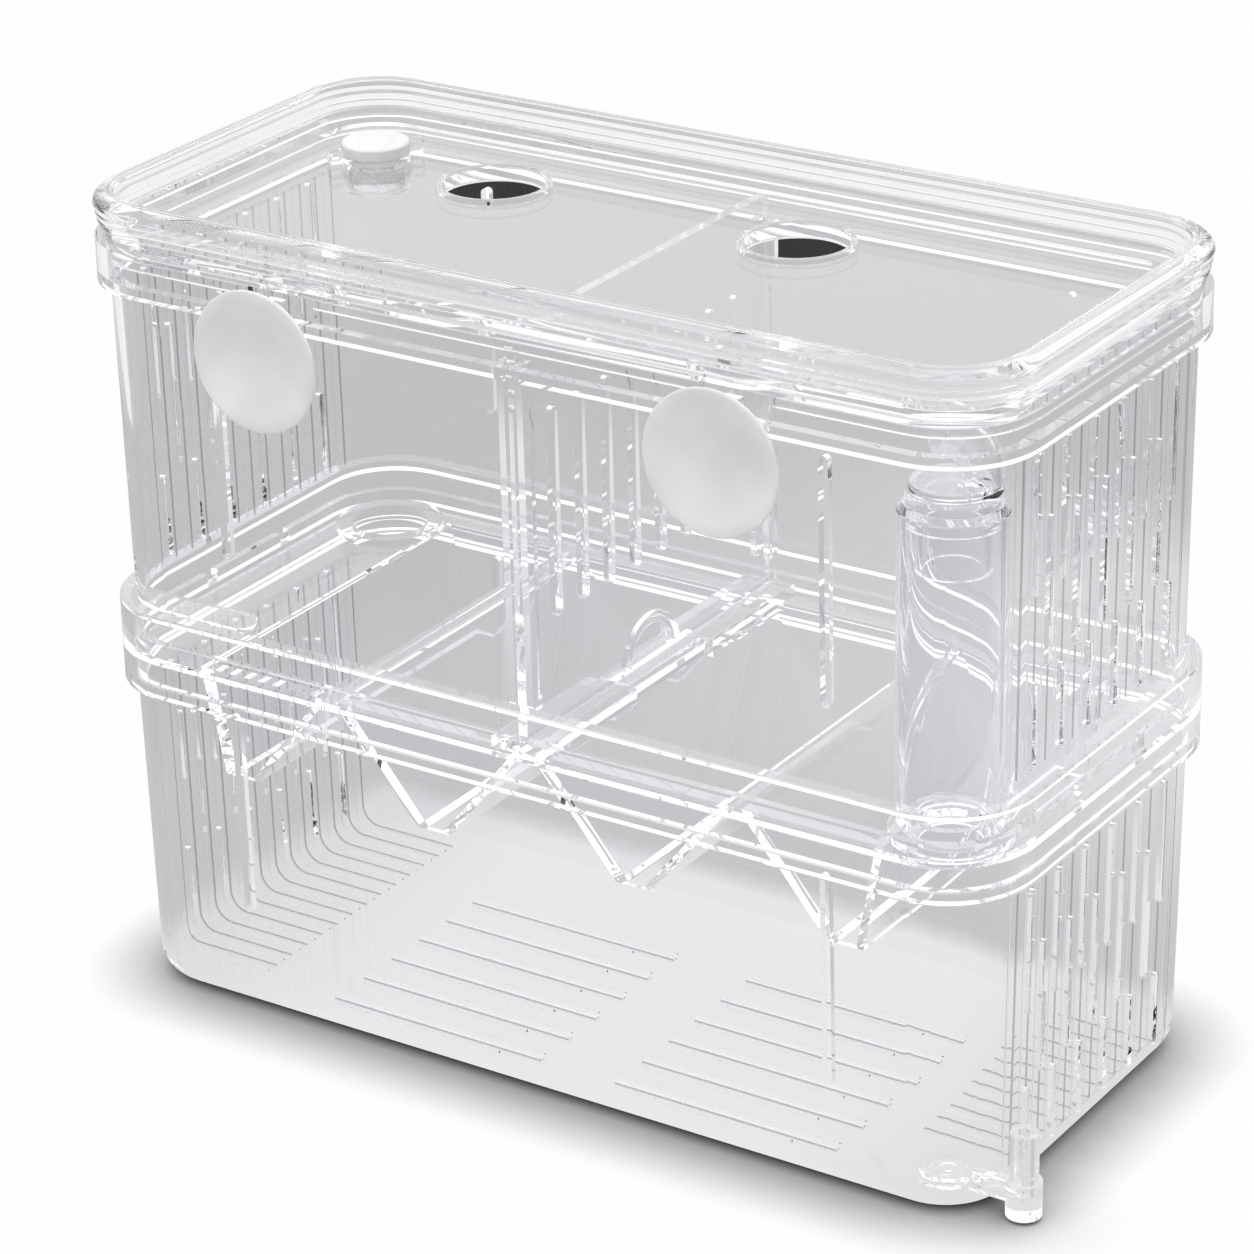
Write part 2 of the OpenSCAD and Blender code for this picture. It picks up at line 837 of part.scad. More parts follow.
module lid_profile() {
    foot_z = top_z + rest;
    groove_z = top_z + 2.4;
    shoulder_z = crown_z - 2.2;
    crown_edge = 4.1;
    step_z = crown_z - 5.4;
    step_inset = 5.3;
    skirt_outer = band_wall + loose;
    skirt_wall = 1.6;
    skirt_z = panel_z - panel - skirt_depth;
    polygon([
        [-1.6, foot_z],
        [-1.2, groove_z],
        [-0.8, groove_z + 0.3],
        [0, shoulder_z],
        [-0.3, shoulder_z + 0.9],
        [-1.1, crown_z - 0.5],
        [-2.4, crown_z],
        [-crown_edge, crown_z],
        [-crown_edge - 0.3, step_z],
        [-step_inset, step_z],
        [-panel_inset, panel_z],
        [-panel_inset, panel_z - panel],
        [-skirt_outer - skirt_wall, panel_z - panel],
        [-skirt_outer - skirt_wall, skirt_z],
        [-skirt_outer, skirt_z],
        [-skirt_outer, foot_z]
    ]);
}

module at(place) {
    translate([place[0], place[1], 0])
        children();
}

module lid() {
    lug_radius = port_diameter / 2 + lug_gap;
    lug_size = [2.6, 3, 3];
    lug_turn = 54;
    color(clear_plastic)
        difference() {
            union() {
                round_the_box()
                    lid_profile();
                plate(panel_inset, panel_z - panel, panel);
                for (place = [hole_left, hole_right])
                    at(place)
                        translate([0, 0, panel_z - panel])
                            cylinder(d = hole_diameter + 2 * hole_collar, h = panel + collar_rise);
                at(port_place)
                    translate([0, 0, panel_z - panel - port_length])
                        cylinder(d = port_diameter, h = port_length + panel + collar_rise);
                for (side = [-1, 1])
                    at(port_place)
                        rotate([0, 0, lug_turn])
                            translate([side * lug_radius, 0, panel_z + lug_size[2] / 2 - running])
                                cube(lug_size, center = true);
            }
            for (place = [hole_left, hole_right])
                at(place)
                    translate([0, 0, panel_z - panel - through])
                        cylinder(d = hole_diameter, h = panel + collar_rise + 2 * through);
            for (sx = [-1, 1])
                translate([sx * cup_x, -half_width + panel_inset / 2, panel_z - panel - skirt_depth / 2])
                    cube([skirt_notch, panel_inset, skirt_depth], center = true);
            at(port_place)
                translate([0, 0, panel_z - panel - port_length - through])
                    cylinder(d = port_diameter - 2 * hole_collar,
                             h = port_length + panel + collar_rise + 2 * through);
        }
}

module lid_plug() {
    stem_radius = port_diameter / 2 - hole_collar - running;
    cap_overhang = 0.15;
    rest_z = panel_z + collar_rise + 0.1;
    stem_length = port_length + panel + collar_rise;
    dish_radius = 3.8;
    pip_radius = 1.9;
    color(frosted_silicone)
        at(port_place)
            rotate_extrude()
                polygon([
                    [0, rest_z - stem_length],
                    [stem_radius - 0.6, rest_z - stem_length],
                    [stem_radius, rest_z - stem_length + 0.8],
                    [stem_radius, rest_z],
                    [port_diameter / 2 + cap_overhang, rest_z],
                    [port_diameter / 2 + cap_overhang, rest_z + plug_cap_height - 0.6],
                    [port_diameter / 2 + cap_overhang - 0.6, rest_z + plug_cap_height],
                    [dish_radius, rest_z + plug_cap_height],
                    [pip_radius, rest_z + plug_cap_height - 0.7],
                    [0, rest_z + plug_cap_height - 0.9]
                ]);
}

// ---- Suction cups ----

// Profile of a cup about its own axis: x is the radius, y runs from the lip to the head
module cup_profile() {
    lip = cup_diameter / 2;
    wall_face = cup_reach + wall_inset_top + 0.1;
    shoulder = wall_face - 0.35;
    head_near = wall_face + wall + 0.3;
    head_far = head_near + 1.8;
    stem = 3.4;
    polygon([
        [0, 2.6],
        [5, 2.1],
        [9.5, 1],
        [lip - 1.6, 0],
        [lip - 0.2, 0],
        [lip, 0.3],
        [lip - 0.5, 0.9],
        [9.5, 2.4],
        [5.5, 4.2],
        [stem, cup_reach - 0.8],
        [stem, shoulder],
        [cup_neck, shoulder],
        [cup_neck, head_near],
        [cup_head, head_near],
        [cup_head - 0.5, head_far],
        [0, head_far]
    ]);
}

module suction_cup(x) {
    color(frosted_silicone)
        translate([x, -half_width - cup_reach, cup_z])
            rotate([-90, 0, 0])
                rotate_extrude()
                    cup_profile();
}

module suction_cup_left() {
    suction_cup(-cup_x);
}

module suction_cup_right() {
    suction_cup(cup_x);
}

lower_tank();
air_nozzle();
air_diffuser();
spawning_tray();
tray_handle();
upper_tank();
divider();
riser_tube();
riser_cap();
outlet_spout();
lid();
lid_plug();
suction_cup_left();
suction_cup_right();
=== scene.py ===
"""A hanging two-storey breeding box for an aquarium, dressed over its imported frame."""

import logging
import math
from dataclasses import dataclass
from enum import Enum
from typing import Any, Sequence, Union

import bmesh
import bpy
from mathutils import Matrix, Vector


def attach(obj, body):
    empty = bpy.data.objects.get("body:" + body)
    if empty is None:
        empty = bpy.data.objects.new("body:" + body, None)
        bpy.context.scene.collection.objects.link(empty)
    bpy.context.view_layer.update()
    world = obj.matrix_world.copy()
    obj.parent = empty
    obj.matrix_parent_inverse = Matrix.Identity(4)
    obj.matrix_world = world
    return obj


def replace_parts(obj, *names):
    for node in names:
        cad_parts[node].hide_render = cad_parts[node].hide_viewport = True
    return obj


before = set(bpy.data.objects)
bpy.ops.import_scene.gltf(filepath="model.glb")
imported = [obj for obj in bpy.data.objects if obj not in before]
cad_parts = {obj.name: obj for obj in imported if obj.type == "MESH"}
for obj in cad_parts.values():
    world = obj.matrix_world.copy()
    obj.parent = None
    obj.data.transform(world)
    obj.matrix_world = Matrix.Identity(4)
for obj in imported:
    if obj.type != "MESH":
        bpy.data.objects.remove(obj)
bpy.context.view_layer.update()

LOG = logging.getLogger("breeding_box")
MM = 0.001
WELD = 0.001 * MM  # doubles nearer than this are one point
FLAT_DEGREES = 0.3  # faces that turn less than this are one face
SOFT_SEGMENTS = 2
LID_CREASE = 24.0
ROUND_STEPS = 96
SEAM = 0.05  # gap in millimetres between faces that would lie on each other
LIGHT_BOUNCES = 48
CLEAR_STEPS = 40


class Body(Enum):
    """Names of the rigid bodies that pieces ride on."""

    LOWER_TANK = "lower_tank"
    TRAY = "tray"
    UPPER_TANK = "upper_tank"
    DIVIDER = "divider"
    RISER = "riser"
    OUTLET = "outlet"
    LID = "lid"
    PLUG = "plug"
    CUP_LEFT = "cup_left"
    CUP_RIGHT = "cup_right"


class Slot(Enum):
    """Material slots of the part's record."""

    CLEAR = "clear_plastic"
    SILICONE = "frosted_silicone"


# ---- Shader expressions ----


class Socket:
    """A shader socket that adds Math nodes when it is used in an expression."""

    def __init__(self, sheet: "Sheet", link: bpy.types.NodeSocket) -> None:
        """Wraps a socket of a sheet's node tree."""
        self.sheet = sheet
        self.link = link

    def _math(self, operation: str, *values: Any) -> "Socket":
        """Adds one Math node and returns its value."""
        return self.sheet.node("ShaderNodeMath", {"operation": operation}, list(values))

    def __add__(self, other: Any) -> "Socket":
        """Sum."""
        return self._math("ADD", self, other)

    __radd__ = __add__

    def __sub__(self, other: Any) -> "Socket":
        """Difference."""
        return self._math("SUBTRACT", self, other)

    def __rsub__(self, other: Any) -> "Socket":
        """Difference with a number on the left."""
        return self._math("SUBTRACT", other, self)

    def __mul__(self, other: Any) -> "Socket":
        """Product."""
        return self._math("MULTIPLY", self, other)

    __rmul__ = __mul__

    def twin(self, output: str) -> "Socket":
        """Another output of the node that this one comes from."""
        return Socket(self.sheet, self.link.node.outputs[output])

    def power(self, exponent: float) -> "Socket":
        """Power."""
        return self._math("POWER", self, exponent)

    def size(self) -> "Socket":
        """Absolute value."""
        return self._math("ABSOLUTE", self)

    def larger(self, other: Any) -> "Socket":
        """The larger of two values."""
        return self._math("MAXIMUM", self, other)

    def ramp(self, low: float, high: float) -> "Socket":
        """A smooth step from 0 at low to 1 at high."""
        settings = {"interpolation_type": "SMOOTHSTEP"}
        return self.sheet.node("ShaderNodeMapRange", settings, [self, low, high, 0.0, 1.0])


class Sheet:
    """The node tree of one material or world."""

    def __init__(self, tree: bpy.types.NodeTree) -> None:
        """Clears the tree, so that it holds only what is added."""
        self.tree = tree
        tree.nodes.clear()

    def node(
        self,
        kind: str,
        settings: Union[dict, None] = None,
        inputs: Union[dict, list, None] = None,
        output: Union[int, str] = 0,
    ) -> Socket:
        """Adds a node.

        Args:
            kind: The node's Blender type.
            settings: Properties that are set before the sockets, such as an operation.
            inputs: Values or sockets by name or by place.
            output: The output that is wanted.

        Returns:
            The chosen output as an expression.
        """
        made = self.tree.nodes.new(kind)
        for key, value in (settings or {}).items():
            setattr(made, key, value)
        pairs = inputs.items() if isinstance(inputs, dict) else enumerate(inputs or [])
        for key, value in pairs:
            if isinstance(value, Socket):
                self.tree.links.new(value.link, made.inputs[key])
            elif value is not None:
                made.inputs[key].default_value = value
        return Socket(self, made.outputs[output]) if len(made.outputs) else Socket(self, None)

    def object_point(self) -> Socket:
        """Object coordinates."""
        return self.node("ShaderNodeTexCoord", output="Object")

    def noise(self, point: Socket, scale: float, detail: float = 2.0) -> Socket:
        """Fractal noise over a point, from 0 to 1."""
        inputs = {"Vector": point, "Scale": scale, "Detail": detail}
        return self.node("ShaderNodeTexNoise", None, inputs, "Fac")

    def mix(self, mask: Any, dark: Sequence[float], pale: Sequence[float]) -> Socket:
        """A colour between dark and pale."""
        inputs = {"Factor": mask, 6: (*dark, 1.0), 7: (*pale, 1.0)}
        return self.node("ShaderNodeMix", {"data_type": "RGBA"}, inputs, 2)

    def bump(self, height: Socket, depth: float, strength: float = 1.0) -> Socket:
        """A bumped normal."""
        inputs = {"Strength": strength, "Distance": depth, "Height": height}
        return self.node("ShaderNodeBump", None, inputs, "Normal")


# ---- Finishes ----


@dataclass(frozen=True)
class ClearPlastic:
    """Polished clear styrene with faint flow marks."""

    name: str
    tint: tuple = (0.985, 0.985, 0.99)
    tint_dark: tuple = (0.975, 0.975, 0.985)
    shade: tuple = (0.985, 0.985, 0.985)
    index: float = 1.25
    flow_scale: float = 38.0
    flow_depth: float = 0.00002
    cloud_scale: float = 14.0
    cloud_range: tuple = (0.35, 0.7)
    roughness: float = 0.0

    def build(self) -> bpy.types.Material:
        """Makes the material.

        Returns:
            The finished material.
        """
        material = bpy.data.materials.new(self.name)
        material.use_nodes = True
        sheet = Sheet(material.node_tree)
        point = sheet.object_point()
        flow = sheet.noise(point, self.flow_scale, 1.0)
        cloud = sheet.noise(point, self.cloud_scale).ramp(*self.cloud_range)
        surface = sheet.node(
            "ShaderNodeBsdfPrincipled",
            None,
            {
                "Base Color": sheet.mix(cloud, self.tint_dark, self.tint),
                "Roughness": self.roughness,
                "IOR": self.index,
                "Transmission Weight": 1.0,
                "Normal": sheet.bump(flow, self.flow_depth),
            },
        )
        lamps = sheet.node("ShaderNodeLightPath", output="Is Shadow Ray")
        passing = sheet.node("ShaderNodeBsdfTransparent", None, {"Color": (*self.shade, 1.0)})
        both = sheet.node("ShaderNodeMixShader", None, [lamps, surface, passing])
        sheet.node("ShaderNodeOutputMaterial", None, {"Surface": both})
        return material


@dataclass(frozen=True)
class FrostedSilicone:
    """Milky soft silicone with a matt skin that lets some light through."""

    name: str
    milk: tuple = (0.85, 0.85, 0.845)
    shade: tuple = (0.76, 0.76, 0.765)
    clarity: float = 0.12
    roughness: float = 0.5
    index: float = 1.41
    grain_scale: float = 900.0
    grain_depth: float = 0.00002
    grain_strength: float = 0.5
    grain_matt: float = 0.12
    cloud_scale: float = 70.0
    cloud_range: tuple = (0.3, 0.7)

    def build(self) -> bpy.types.Material:
        """Makes the material.

        Returns:
            The finished material.
        """
        material = bpy.data.materials.new(self.name)
        material.use_nodes = True
        sheet = Sheet(material.node_tree)
        point = sheet.object_point()
        grain = sheet.noise(point, self.grain_scale, 3.0)
        cloud = sheet.noise(point, self.cloud_scale, 2.0)
        surface = sheet.node(
            "ShaderNodeBsdfPrincipled",
            None,
            {
                "Base Color": sheet.mix(cloud.ramp(*self.cloud_range), self.shade, self.milk),
                "Roughness": self.roughness + self.grain_matt * grain,
                "IOR": self.index,
                "Transmission Weight": self.clarity,
                "Normal": sheet.bump(grain, self.grain_depth, self.grain_strength),
            },
        )
        sheet.node("ShaderNodeOutputMaterial", None, {"Surface": surface})
        return material


@dataclass(frozen=True)
class Paper:
    """Seamless white paper: matt under the lamps, and of set tones where it is seen.

    white is its tone in plain view, and hush the reach of the painted contact shadow on it. Through
    clear plastic it shows painted tones of light and shade instead of its lit tone: card under the
    box, darker towards the box's ends, then near, middle and far tones further out, the middle one
    lighter towards +X. A ray through one wall alone sees the paler painted tone behind, past the
    edges open_y and open_x, and two painted dark spots of shade.
    """

    name: str = "white_paper"
    white: float = 0.99
    card: float = 0.825
    card_ends: tuple = (0.045, 0.1)
    card_dip: float = 0.09
    near: float = 0.57
    middle: float = 0.63
    far: float = 0.55
    behind: float = 0.92
    foot_half: tuple = (0.1, 0.048)
    card_blur: float = 0.012
    reach: float = 0.13
    hush: float = 0.017
    hush_rays: int = 12
    depth: float = 1.35
    slope: float = 1.3
    slope_start: float = 0.09
    slope_least: float = -0.1
    far_edge: tuple = (0.2, 0.26)
    open_y: tuple = (0.425, 0.435)
    open_x: tuple = (0.38, 0.39)
    one_wall: tuple = (2.4, 2.6)
    matt: tuple = (0.8, 0.8, 0.8)
    painted_spot_shade: float = 0.03
    painted_spot_places: tuple = ((-0.3112, 0.3957), (-0.2063, 0.3957))
    painted_spot_radius: float = 0.0157
    painted_spot_blur: float = 1.03

    def build(self) -> bpy.types.Material:
        """Makes the material.

        Returns:
            The finished material.
        """
        material = bpy.data.materials.new(self.name)
        material.use_nodes = True
        sheet = Sheet(material.node_tree)
        path = sheet.node("ShaderNodeLightPath", output="Is Camera Ray")
        through = path.twin("Is Transmission Ray").larger(path.twin("Is Glossy Ray"))
        rays, reach = {"samples": self.hush_rays}, {"Distance": self.hush}
        contact = sheet.node("ShaderNodeAmbientOcclusion", rays, reach, "AO")
        seen = self.white * contact.power(self.depth)
        axes = sheet.node("ShaderNodeSeparateXYZ", None, [sheet.object_point()], "X")
        out_x = (axes.size() - self.foot_half[0]).larger(0.0)
        out_y = (axes.twin("Y").size() - self.foot_half[1]).larger(0.0)
        away = (out_x * out_x + out_y * out_y).power(0.5)
        # Painted tones of light and shade by place: darker towards the ends under the box, then near,
        # middle and far
        tone = self.card - axes.size().ramp(*self.card_ends) * self.card_dip
        tone = tone + away.ramp(0.0, self.card_blur) * (self.near - tone)
        # The middle tone is painted lighter towards +X
        lean = (axes + self.slope_start).larger(self.slope_least) * self.slope + 1
        tone = tone + away.ramp(self.card_blur, self.reach) * (lean * self.middle - self.near)
        tone = tone + away.ramp(*self.far_edge) * (self.far - tone)
        walls = path.twin("Transmission Depth")
        # A paler painted tone past the edges, for rays through one wall alone
        painted_pale_mask = axes.twin("Y").ramp(*self.open_y).larger((0 - axes).ramp(*self.open_x))
        thin = 1 - walls.ramp(*self.one_wall)
        tone = tone + thin * painted_pale_mask * (self.behind - tone)
        # Painted dark spots of shade, for rays through one wall alone
        tone = tone + thin * self.painted_spot_mask(axes) * (self.painted_spot_shade - tone)
        shown = path * (seen - tone) + tone
        even = sheet.node("ShaderNodeEmission", None, {"Color": (1, 1, 1, 1), "Strength": shown})
        matt = sheet.node("ShaderNodeBsdfDiffuse", None, {"Color": (*self.matt, 1.0)})
        surface = sheet.node("ShaderNodeMixShader", None, [path.larger(through), matt, even])
        sheet.node("ShaderNodeOutputMaterial", None, {"Surface": surface})
        return material

    def painted_spot_mask(self, axes: Socket) -> Socket:
        """Masks the painted dark spots of shade.

        Args:
            axes: The X output of the floor's coordinates.

        Returns:
            1 on the spots and 0 elsewhere.
        """
        mask = 0.0
        for x, y in self.painted_spot_places:
            off_x, off_y = axes - x, axes.twin("Y") - y
            away = (off_x * off_x + off_y * off_y).power(0.5)
            edge = away.ramp(self.painted_spot_radius, self.painted_spot_radius * self.painted_spot_blur)
            mask = (1 - edge).larger(mask)
        return mask


# ---- Pieces ----


class Piece:
    """Anything that rides on a body and stands for nodes of the frame."""

    def place(
        self,
        thing: bpy.types.Object,
        body: Body,
        slot: Slot,
        material: bpy.types.Material,
        nodes: Sequence[str] = (),
    ) -> bpy.types.Object:
        """Dresses a finished object and hangs it on its body.

        Args:
            thing: The object, with its place in its mesh.
            body: The body that it rides on.
            slot: The record's slot for its finish; not used.
            material: The finish.
            nodes: Frame nodes that it stands for.

        Returns:
            The same object.
        """
        if thing.name not in bpy.context.scene.collection.objects:
            bpy.context.scene.collection.objects.link(thing)
        thing.data.materials.clear()
        thing.data.materials.append(material)
        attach(thing, body.value)
        if nodes:
            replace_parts(thing, *nodes)
        LOG.info("%s: %d faces on %s", thing.name, len(thing.data.polygons), body.value)
        return thing

    def soften(self, thing: bpy.types.Object, edge: float, crease: float) -> None:
        """Rounds the edges as a mould does, and keeps the flat faces flat.

        Args:
            thing: The object whose edges are rounded.
            edge: Width of the rounding in millimetres.
            crease: Least angle of an edge that is rounded, in degrees.
        """
        soft = thing.modifiers.new("soft_edges", "BEVEL")
        soft.width = edge * MM
        soft.segments = SOFT_SEGMENTS
        soft.limit_method = "ANGLE"
        soft.angle_limit = math.radians(crease)
        soft.use_clamp_overlap = True
        soft.miter_outer = "MITER_ARC"
        even = thing.modifiers.new("even_normals", "WEIGHTED_NORMAL")
        even.keep_sharp = True


@dataclass
class MouldedShell(Piece):
    """A moulding taken from its frame node and given smooth faces and crisp edges.

    level holds the height of a floor, the top of its low ribs and the half-sizes of their field.
    clear_of holds the centre and radius of a round seat on it that is left alone. Faces whose
    normal's z is flattest or more keep their triangles.
    """

    node: str
    body: Body
    slot: Slot
    crease: float = 28.0
    edge: float = 0.3
    level: Union[tuple, None] = None
    flattest: float = 2.0
    clear_of: tuple = (84.0, -32.0, 8.5)
    floor_skin: float = 0.02

    def build(self, material: bpy.types.Material) -> bpy.types.Object:
        """Copies the node's mesh, joins its triangles and shades it.

        Args:
            material: The finish.

        Returns:
            The dressed shell.
        """
        mesh = bpy.data.meshes.new(self.node + "_shell")
        shell = bmesh.new()
        shell.from_mesh(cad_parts[self.node].data)
        if self.level:
            self.plane(shell)
        bmesh.ops.remove_doubles(shell, verts=shell.verts, dist=WELD)
        bmesh.ops.dissolve_degenerate(shell, edges=shell.edges, dist=WELD)
        upright = [e for e in shell.edges if all(abs(f.normal.z) < self.flattest for f in e.link_faces)]
        bmesh.ops.dissolve_limit(
            shell,
            angle_limit=math.radians(FLAT_DEGREES),
            use_dissolve_boundaries=False,
            verts=list(dict.fromkeys(v for e in upright for v in e.verts)),
            edges=upright,
            delimit={"NORMAL"},
        )
        for face in shell.faces:
            face.smooth = True
        shell.to_mesh(mesh)
        shell.free()
        mesh.set_sharp_from_angle(angle=math.radians(self.crease))
        thing = bpy.data.objects.new(self.node + "_shell", mesh)
        self.place(thing, self.body, self.slot, material, [self.node])
        self.soften(thing, self.edge, self.crease)
        return thing

    def plane(self, shell: bmesh.types.BMesh) -> None:
        """Sinks the low ribs into the floor, so that finer ones can lie there.

        Args:
            shell: The shell whose floor it is.
        """
        floor, top, half_x, half_y = self.level
        keep_x, keep_y, keep = self.clear_of
        for vert in shell.verts:
            x, y, z = vert.co / MM
            in_seat = math.hypot(x - keep_x, y - keep_y) < keep
            in_field = abs(x) < half_x and abs(y) < half_y
            if floor + self.floor_skin < z < top and in_field and not in_seat:
                vert.co.z = floor * MM


class Strands(Piece):
    """Round strands that follow runs and bends, such as fine ribs."""

    def strand(
        self,
        shape: bmesh.types.BMesh,
        radius: float,
        start: Sequence[float],
        heading: Sequence[float],
        moves: Sequence[tuple],
        sides: int = 10,
    ) -> None:
        """Draws one strand in millimetres.

        Args:
            shape: The bmesh that it is added to.
            radius: Its radius.
            start: Where it starts.
            heading: Which way it leaves.
            moves: ("run", vector) or ("bend", centre, axis, degrees, steps), in order.
            sides: Corners of its section.
        """
        made = bmesh.ops.create_circle(shape, cap_ends=False, radius=radius * MM, segments=sides)
        turn = Vector(heading).to_track_quat("Z", "Y").to_matrix()
        bmesh.ops.rotate(shape, verts=made["verts"], matrix=turn)
        bmesh.ops.translate(shape, verts=made["verts"], vec=Vector(start) * MM)
        self.follow(shape, made["verts"], moves, False)

    def follow(
        self, shape: bmesh.types.BMesh, verts: list, moves: Sequence[tuple], closed: bool
    ) -> None:
        """Carries a closed outline along its moves.

        Args:
            shape: The bmesh that it is in.
            verts: The outline's vertices.
            moves: Moves in order, as strand has them.
            closed: True where it ends at its start, and needs no ends filled.
        """
        edges = list(dict.fromkeys(e for v in verts for e in v.link_edges))
        first = edges
        for move in moves:
            if move[0] == "run":
                grown = bmesh.ops.extrude_edge_only(shape, edges=edges)["geom"]
                verts = [g for g in grown if isinstance(g, bmesh.types.BMVert)]
                bmesh.ops.translate(shape, verts=verts, vec=Vector(move[1]) * MM)
                edges = [g for g in grown if isinstance(g, bmesh.types.BMEdge) and g.is_boundary]
            else:
                _, centre, axis, degrees, steps = move
                turned = bmesh.ops.spin(
                    shape,
                    geom=verts + edges,
                    cent=Vector(centre) * MM,
                    axis=axis,
                    angle=math.radians(degrees),
                    steps=steps,
                )["geom_last"]
                verts = [g for g in turned if isinstance(g, bmesh.types.BMVert)]
                edges = [g for g in turned if isinstance(g, bmesh.types.BMEdge)]
        if not closed:
            bmesh.ops.contextual_create(shape, geom=first)
            bmesh.ops.contextual_create(shape, geom=edges)

    def finish(
        self,
        shape: bmesh.types.BMesh,
        name: str,
        body: Body,
        material: bpy.types.Material,
        crease: float = 60.0,
    ) -> bpy.types.Object:
        """Closes the strands, smooths them and hangs them on a body.

        Args:
            shape: The bmesh that holds them.
            name: The piece's name.
            body: The body that it rides on.
            material: The finish.
            crease: Least angle of an edge that stays sharp, in degrees.

        Returns:
            The dressed piece.
        """
        bmesh.ops.remove_doubles(shape, verts=shape.verts, dist=10 * WELD)
        bmesh.ops.recalc_face_normals(shape, faces=shape.faces)
        for face in shape.faces:
            face.smooth = True
        mesh = bpy.data.meshes.new(name)
        shape.to_mesh(mesh)
        shape.free()
        mesh.set_sharp_from_angle(angle=math.radians(crease))
        return self.place(bpy.data.objects.new(name, mesh), body, Slot.CLEAR, material)


@dataclass
class TankRibs(Strands):
    """Fine ribs of both tanks: long ones on the floor, combs and flutes beside the end slots."""

    floor: float = 1.8
    gap: float = 0.04
    long_radius: float = 0.62
    long_starts: tuple = (-53.0, 13.0)
    long_length: float = 49.0
    first_y: float = -33.5
    pitch: float = 9.5
    count: int = 6
    faint_radius: float = 0.26
    faint_off: float = 2.4
    faint_start: float = 1.0
    faint_share: float = 0.8
    painted_shade_off: float = 1.05
    fine_radius: float = 0.18
    fine_off: float = 1.2
    fine_pitch: float = 5.125
    fine_count: int = 13
    comb_length: float = 19.0
    lower_wall: tuple = ((62.0, 95.65), (6.0, 94.7))
    upper_wall: tuple = ((146.0, 95.69), (84.0, 95.02))
    bend_x: float = 90.5
    bend_steps: int = 8
    fine_sides: int = 8
    riser_side: float = -20.0

    def build(self, bright: bpy.types.Material, painted_shade: bpy.types.Material) -> None:
        """Lays all the ribs; each bright one has a dark-tinted one beside it, a painted shade line.

        Args:
            bright: Finish of the ribs that catch the light.
            painted_shade: Finish of the ribs beside them.
        """
        lower, upper = (bmesh.new(), bmesh.new()), (bmesh.new(), bmesh.new())
        for i in range(self.count):
            y = self.first_y + i * self.pitch
            for x in self.long_starts:
                self.bar(lower[0], self.long_radius, x, y, self.long_length)
                faint_x, faint_y = x + self.faint_start, y - self.faint_off
                faint_length = self.long_length * self.faint_share
                self.bar(lower[0], self.faint_radius, faint_x, faint_y, faint_length)
                # A dark-tinted rib beside each long one: a painted shade line
                self.bar(lower[1], self.fine_radius, x, y - self.painted_shade_off, self.long_length)
        for i in range(self.fine_count):
            # The second of each pair of flutes is dark-tinted: a painted shade line
            for kind, off in enumerate((-self.fine_off, self.fine_off)):
                y = (i - (self.fine_count - 1) / 2) * self.fine_pitch + off
                for side in (-1, 1):
                    onward = side < 0 or y > self.riser_side
                    self.flute(upper[kind], y, side, self.upper_wall, False)
                    self.flute(lower[kind], y, side, self.lower_wall, onward)
        for kind, (word, finish) in enumerate((("bright", bright), ("painted_shade", painted_shade))):
            self.finish(lower[kind], "lower_ribs_" + word, Body.LOWER_TANK, finish)
            self.finish(upper[kind], "upper_flutes_" + word, Body.UPPER_TANK, finish)

    def bar(self, shape: bmesh.types.BMesh, radius: float, x: float, y: float, length: float) -> None:
        """Lays one straight rib along X."""
        start = (x, y, self.floor + self.gap + radius)
        self.strand(shape, radius, start, (1, 0, 0), [("run", (length, 0, 0))])

    def flute(self, shape: bmesh.types.BMesh, y: float, side: int, wall: tuple, onward: bool) -> None:
        """Lays one fine rib down the inside of an end wall.

        Args:
            shape: The bmesh that it is added to.
            y: Its place across the box.
            side: -1 for the left wall and 1 for the right one.
            wall: Height and half-length of the inner face at its top and at its foot.
            onward: True where it goes on round the bend and along the floor.
        """
        (high, high_x), (low, low_x) = wall
        inside = self.gap + self.fine_radius
        top, foot = side * (high_x - inside), side * (low_x - inside)
        moves = [("run", (foot - top, 0, low - high))]
        if onward:
            centre = (side * self.bend_x, y, low)
            moves.append(("bend", centre, (0, 1, 0), side * 90.0, self.bend_steps))
            moves.append(("run", (-side * self.comb_length, 0, 0)))
        start = (top, y, high)
        self.strand(shape, self.fine_radius, start, (0, 0, -1), moves, sides=self.fine_sides)


